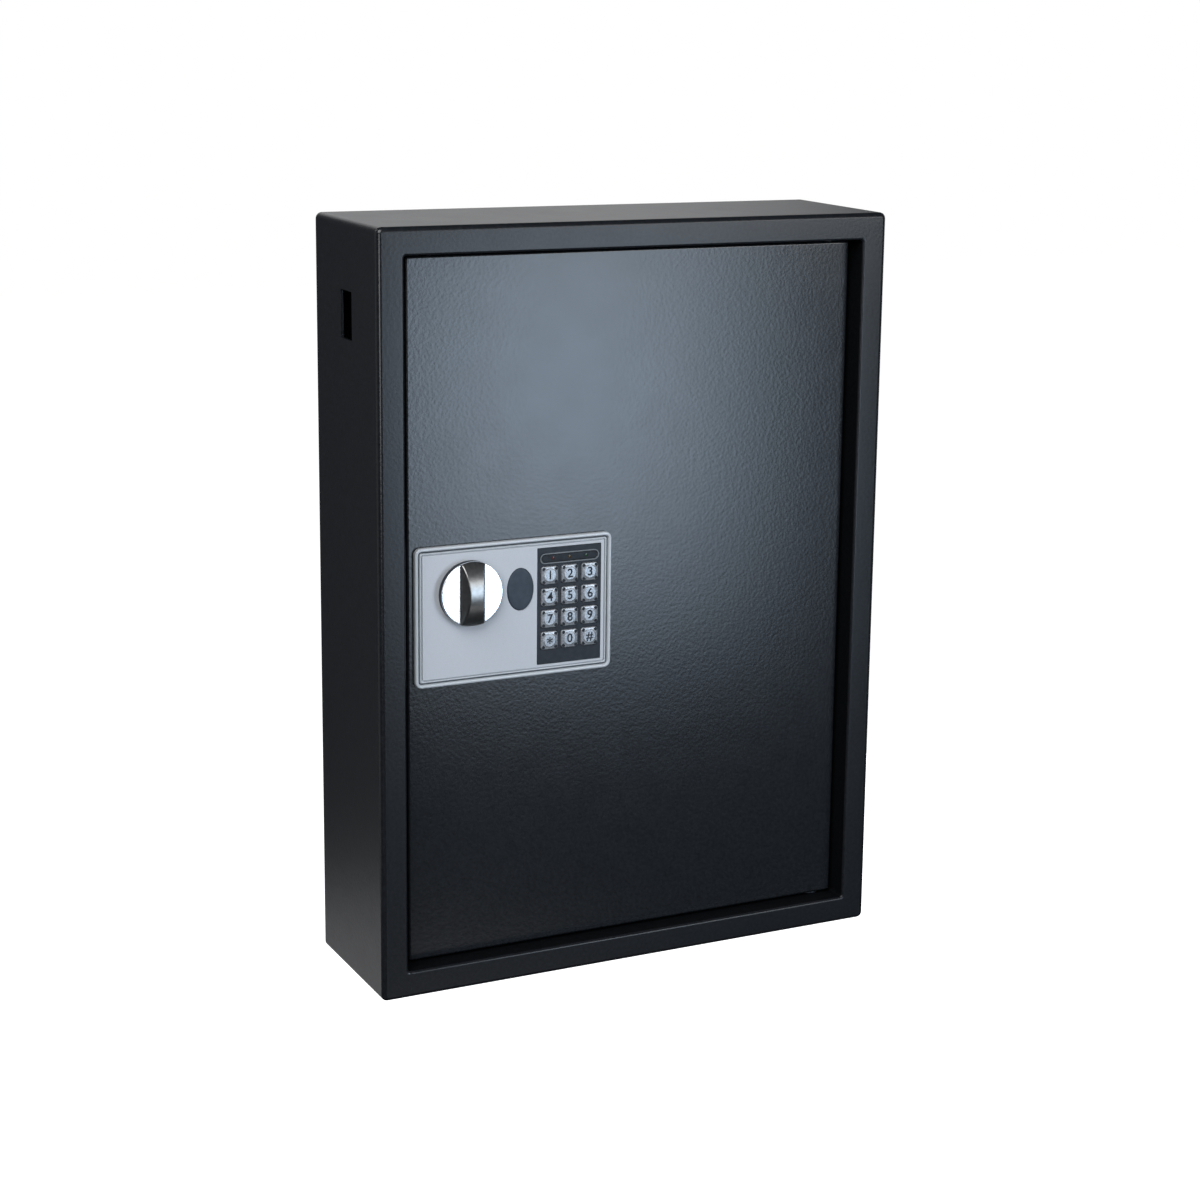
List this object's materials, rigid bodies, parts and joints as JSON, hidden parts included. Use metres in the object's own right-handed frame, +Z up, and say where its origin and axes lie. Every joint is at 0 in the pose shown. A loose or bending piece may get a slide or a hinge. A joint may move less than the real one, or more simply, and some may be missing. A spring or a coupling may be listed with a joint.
{
  "type": "wall safe",
  "caption": "Wall-mounted steel key safe: shallow cabinet, recessed hinged door with keypad lock and turn knob, key hooks inside, drop slot in the side.",
  "frame": {"origin": "centre of the cabinet's wall face", "axes": "+Z up, +Y out of the wall face into the wall (the door faces -Y), +X to the right as seen from the front"},
  "size_m": [0.4, 0.1231, 0.55],
  "materials": {
    "paint": "fine-textured blue-black powder coat",
    "zinc_steel": "zinc plated",
    "silver_plastic": "satin silver paint",
    "silver_face": "satin silver paint",
    "black_plastic": "moulded",
    "smoked_plastic": "clear-coated",
    "key_metal": "satin chrome",
    "rubber": "moulded",
    "circuit_board": "solder mask",
    "slate_plastic": "moulded",
    "brass": "machined",
    "chrome": "polished",
    "cell_jacket": "printed sleeve",
    "red_plastic": "moulded"
  },
  "bodies": {
    "cabinet": {"cabinet_shell": "paint", "back_panel": "paint", "hinge_bush_lower": "black_plastic", "hinge_bush_upper": "black_plastic", "rail_left": "zinc_steel", "rail_right": "zinc_steel", "hook_bar_1": "zinc_steel", "hook_bar_2": "zinc_steel", "hook_bar_3": "zinc_steel", "hook_bar_4": "zinc_steel", "hook_bar_5": "zinc_steel", "hook_bar_6": "zinc_steel", "hook_bar_7": "zinc_steel"},
    "door": {"door_panel": "paint", "hinge_block_upper": "zinc_steel", "hinge_block_lower": "zinc_steel", "hinge_pin_upper": "zinc_steel", "hinge_pin_lower": "zinc_steel", "lock_bezel": "silver_plastic", "lock_face": "silver_face", "keypad_mask": "black_plastic", "indicator_window": "smoked_plastic", "keypad_mat": "rubber", "keypad_board": "circuit_board", "cylinder_housing": "brass", "cylinder_nut": "zinc_steel", "guide_post_upper": "zinc_steel", "guide_post_lower": "zinc_steel", "solenoid_case": "zinc_steel", "battery_box": "black_plastic", "battery_cell_1": "cell_jacket", "battery_cell_2": "cell_jacket", "battery_cell_3": "cell_jacket", "battery_cell_4": "cell_jacket", "control_board": "circuit_board", "lock_cover": "paint"},
    "turn_knob": {"knob": "chrome", "knob_spindle": "zinc_steel", "crank_disc": "zinc_steel"},
    "bolt_work": {"bolt_carriage": "zinc_steel", "bolt_upper": "chrome", "bolt_lower": "chrome"},
    "cylinder_core": {"cylinder_rotor": "brass"},
    "cylinder_cover": {"cylinder_plug": "slate_plastic"},
    "lock_plunger": {"solenoid_plunger": "zinc_steel"},
    "battery_door": {"battery_lid": "black_plastic"},
    "code_reset": {"reset_button": "red_plastic"},
    "keypad_1": {"key_1": "key_metal"},
    "keypad_2": {"key_2": "key_metal"},
    "keypad_3": {"key_3": "key_metal"},
    "keypad_4": {"key_4": "key_metal"},
    "keypad_5": {"key_5": "key_metal"},
    "keypad_6": {"key_6": "key_metal"},
    "keypad_7": {"key_7": "key_metal"},
    "keypad_8": {"key_8": "key_metal"},
    "keypad_9": {"key_9": "key_metal"},
    "keypad_star": {"key_star": "key_metal"},
    "keypad_0": {"key_0": "key_metal"},
    "keypad_hash": {"key_hash": "key_metal"}
  },
  "joints": [
    {"name": "door_hinge", "type": "hinge", "parent": "cabinet", "child": "door", "pos_m": [0.1634, -0.097, 0], "axis": [0, 0, 1], "range_deg": [0, 105]},
    {"name": "knob_turn", "type": "hinge", "parent": "door", "child": "turn_knob", "pos_m": [-0.1284, -0.105, 0.016], "axis": [0, -1, 0], "range_deg": [0, 75]},
    {"name": "bolt_slide", "type": "slide", "parent": "door", "child": "bolt_work", "axis": [-1, 0, 0], "range_m": [0, 0.012]},
    {"name": "cylinder_turn", "type": "hinge", "parent": "door", "child": "cylinder_core", "pos_m": [-0.089, -0.105, 0.0144], "axis": [0, -1, 0], "range_deg": [0, 90]},
    {"name": "cylinder_cover_pull", "type": "slide", "parent": "door", "child": "cylinder_cover", "axis": [0, -1, 0], "range_m": [0, 0.02]},
    {"name": "plunger_slide", "type": "slide", "parent": "door", "child": "lock_plunger", "axis": [0, 0, 1], "range_m": [0, 0.005]},
    {"name": "battery_door_pull", "type": "slide", "parent": "door", "child": "battery_door", "axis": [0, 1, 0], "range_m": [0, 0.025]},
    {"name": "code_reset_press", "type": "slide", "parent": "door", "child": "code_reset", "axis": [0, -1, 0], "range_m": [0, 0.0015], "stiffness_N_per_m": 300},
    {"name": "press_1", "type": "slide", "parent": "door", "child": "keypad_1", "axis": [0, 1, 0], "range_m": [0, 0.0012], "stiffness_N_per_m": 400},
    {"name": "press_2", "type": "slide", "parent": "door", "child": "keypad_2", "axis": [0, 1, 0], "range_m": [0, 0.0012], "stiffness_N_per_m": 400},
    {"name": "press_3", "type": "slide", "parent": "door", "child": "keypad_3", "axis": [0, 1, 0], "range_m": [0, 0.0012], "stiffness_N_per_m": 400},
    {"name": "press_4", "type": "slide", "parent": "door", "child": "keypad_4", "axis": [0, 1, 0], "range_m": [0, 0.0012], "stiffness_N_per_m": 400},
    {"name": "press_5", "type": "slide", "parent": "door", "child": "keypad_5", "axis": [0, 1, 0], "range_m": [0, 0.0012], "stiffness_N_per_m": 400},
    {"name": "press_6", "type": "slide", "parent": "door", "child": "keypad_6", "axis": [0, 1, 0], "range_m": [0, 0.0012], "stiffness_N_per_m": 400},
    {"name": "press_7", "type": "slide", "parent": "door", "child": "keypad_7", "axis": [0, 1, 0], "range_m": [0, 0.0012], "stiffness_N_per_m": 400},
    {"name": "press_8", "type": "slide", "parent": "door", "child": "keypad_8", "axis": [0, 1, 0], "range_m": [0, 0.0012], "stiffness_N_per_m": 400},
    {"name": "press_9", "type": "slide", "parent": "door", "child": "keypad_9", "axis": [0, 1, 0], "range_m": [0, 0.0012], "stiffness_N_per_m": 400},
    {"name": "press_star", "type": "slide", "parent": "door", "child": "keypad_star", "axis": [0, 1, 0], "range_m": [0, 0.0012], "stiffness_N_per_m": 400},
    {"name": "press_0", "type": "slide", "parent": "door", "child": "keypad_0", "axis": [0, 1, 0], "range_m": [0, 0.0012], "stiffness_N_per_m": 400},
    {"name": "press_hash", "type": "slide", "parent": "door", "child": "keypad_hash", "axis": [0, 1, 0], "range_m": [0, 0.0012], "stiffness_N_per_m": 400}
  ],
  "couplings": [
    {"joint": "knob_turn", "follows": "bolt_slide", "rad_per_m": 109.05}
  ]
}
